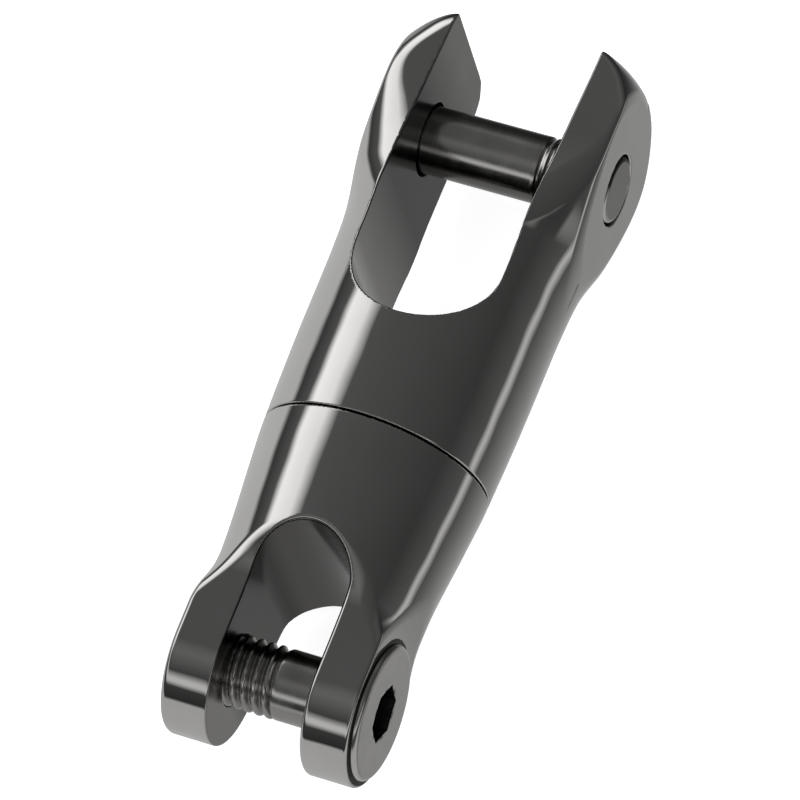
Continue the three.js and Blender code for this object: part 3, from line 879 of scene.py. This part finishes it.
collar("swivel_bush", "turned", bush_profile(), BRONZE)
collar("head_thrust_washer", "ground", washer_profile(4.7, HEAD_WASHER),
       WASHER_STEEL)
collar("seam_thrust_washer", "polymer", washer_profile(4.8, SEAM_WASHER),
       POLYMER)
collar("seam_o_ring", "rubber", o_ring_profile(), RUBBER)

# ---------------------------------------------------------------------------
# stage: studio world, pale floor, soft light, camera (metres)
# ---------------------------------------------------------------------------
scene = bpy.context.scene
low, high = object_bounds()
centre = (low + high) / 2

# the bearing round Y is counted from UP_AXIS towards SIDE_AXIS, which leans to +X
SIDE_AXIS = Vector((0.949, 0.0, -0.314))
UP_AXIS = Vector((0.314, 0.0, 0.949))

# (bearing in degrees, brightness): soft box on the -X side, strip light on the +X side
SIDE_LIGHTS = [(-180, 0.55), (-115, 0.55), (-108, 0.05), (-92, 0.1), (-84, 1.2), (-65, 1.0),
               (-52, 0.1), (60, 0.05), (90, 0.1), (96, 0.6), (104, 0.1), (180, 0.5)]
# (elevation in degrees, brightness), seen towards -Y and then towards +Y
MINUS_Y_LIGHTS = [(-90, 0.5), (-3, 0.45), (1, 0.03), (20, 0.05), (27, 0.6), (32, 0.6),
                  (42, 0.06), (90, 0.25)]
PLUS_Y_LIGHTS = [(-90, 0.06), (0, 0.03), (40, 0.12), (90, 0.06)]


def studio_world():
    world = bpy.data.worlds.new("studio")
    scene.world = world
    world.use_nodes = True
    nodes = Shader(world.node_tree, "ShaderNodeOutputWorld", "ShaderNodeBackground",
                   "Generated")

    def along(axis):
        return nodes.add("ShaderNodeVectorMath", {0: nodes.coord, 1: axis},
                         operation="DOT_PRODUCT").outputs["Value"]

    def fraction(angle, whole):
        """An angle in radians as a share of the whole range, with 0.5 at zero."""
        return nodes.plus(nodes.maths("DIVIDE", angle, whole), 0.5)

    def ramp(value, stops, degrees):
        """Grey stops over a range of that many degrees, centred on zero."""
        node = nodes.add("ShaderNodeValToRGB", {0: value})
        elements = node.color_ramp.elements
        while len(elements) > 1:
            elements.remove(elements[-1])
        for i, (angle, grey) in enumerate(stops):
            position = angle / degrees + 0.5
            if i == 0:
                stop = elements[0]
                stop.position = position
            else:
                stop = elements.new(position)
            stop.color = (grey, grey, grey, 1)
        return node.outputs["Color"]

    # a slow noise bends the edges of the lights a little
    warp = nodes.noise(scale=2.2, detail=2.0)
    wobble = nodes.times(nodes.maths("SUBTRACT", warp, 0.5), by=0.014)
    bearing = nodes.maths("ARCTAN2", along(SIDE_AXIS), along(UP_AXIS))
    sides = ramp(nodes.plus(fraction(bearing, 2 * math.pi), wobble), SIDE_LIGHTS, 360)
    along_y = along(Vector((0, 1, 0)))
    elevation = fraction(nodes.maths("ARCSINE", along(Vector((0, 0, 1)))), math.pi)
    elevation = nodes.plus(elevation, nodes.times(wobble, by=0.8))
    near = ramp(elevation, MINUS_Y_LIGHTS, 180)
    near_share = nodes.remap(along_y, span=(-0.28, 0.05), to=(1.0, 0.0))
    look = nodes.mix(near_share, low=sides, high=near)
    far = ramp(elevation, PLUS_Y_LIGHTS, 180)
    far_share = nodes.remap(along_y, span=(0.6, 0.8), to=(0.0, 1.0))
    # a bright patch on the -X side of the +Y end
    patch = nodes.times(
        nodes.remap(bearing, span=(math.radians(-100), math.radians(-88)), to=(0.0, 1.0)),
        by=nodes.remap(bearing, span=(math.radians(-60), math.radians(-50)), to=(1.0, 0.0)))
    patch = nodes.times(patch, by=nodes.remap(along_y, span=(0.74, 0.84), to=(1.0, 0.0)))
    far = nodes.mix(patch, low=far, high=(1.3, 1.3, 1.3))
    look = nodes.mix(far_share, low=look, high=far)
    # reflections see the lights; diffuse rays and the camera see plain greys
    rays = nodes.add("ShaderNodeLightPath")
    look = nodes.mix(rays.outputs["Is Diffuse Ray"], low=look, high=(1.0, 1.0, 1.0))
    look = nodes.mix(rays.outputs["Is Camera Ray"], low=look, high=(0.90, 0.90, 0.90))
    nodes.finish(Color=look, Strength=1.0)


def pale_floor():
    half = 6.0
    mesh = bpy.data.meshes.new("floor")
    corners = [(x * half, y * half, low.z) for x, y in ((-1, -1), (1, -1), (1, 1), (-1, 1))]
    mesh.from_pydata(corners, [], [(0, 1, 2, 3)])
    floor = bpy.data.objects.new("floor", mesh)
    scene.collection.objects.link(floor)
    material, nodes = new_material("pale_floor")
    blotch = nodes.remap(nodes.noise(scale=40, detail=3))
    nodes.finish(Base_Color=nodes.mix(blotch, low=(0.80, 0.80, 0.80), high=(0.815, 0.815, 0.815)),
                 Roughness=0.9, Specular_IOR_Level=0.1,
                 Emission_Color=(1, 1, 1), Emission_Strength=0.7)
    mesh.materials.append(material)
    floor.visible_glossy = False


def soft_light():
    lamp = bpy.data.lights.new("top_soft", "AREA")
    lamp.shape = "RECTANGLE"
    lamp.size = lamp.size_y = 0.6
    lamp.energy = 1.6
    light = bpy.data.objects.new("top_soft", lamp)
    scene.collection.objects.link(light)
    place = centre + Vector((-0.25, -0.1, 0.7))
    light.location = place
    light.rotation_mode = "QUATERNION"
    light.rotation_quaternion = (centre - place).to_track_quat("-Z", "Y")
    light.visible_glossy = False
    light.visible_camera = False


def add_camera():
    lens = bpy.data.cameras.new("camera")
    camera = bpy.data.objects.new("camera", lens)
    scene.collection.objects.link(camera)
    lens.sensor_width = 36.0
    lens.lens = 326.57
    lens.clip_start = 0.02
    lens.clip_end = 50.0
    # the camera's own axes; it looks against the last
    right = Vector((0.9188999, 0.3594940, -0.1624408))
    up = Vector((-0.2627620, 0.8648958, 0.4276813))
    back = Vector((0.2942433, -0.3503131, 0.8892141))
    place = centre + Vector((0.2318314, -0.2760431, 0.7014509))
    turned = Matrix((right, up, back)).transposed().to_4x4()
    camera.matrix_world = Matrix.Translation(place) @ turned
    scene.camera = camera


studio_world()
pale_floor()
soft_light()
add_camera()

scene.view_settings.view_transform = "Standard"
scene.view_settings.look = "None"
scene.view_settings.exposure = 0.0
scene.view_settings.gamma = 1.0
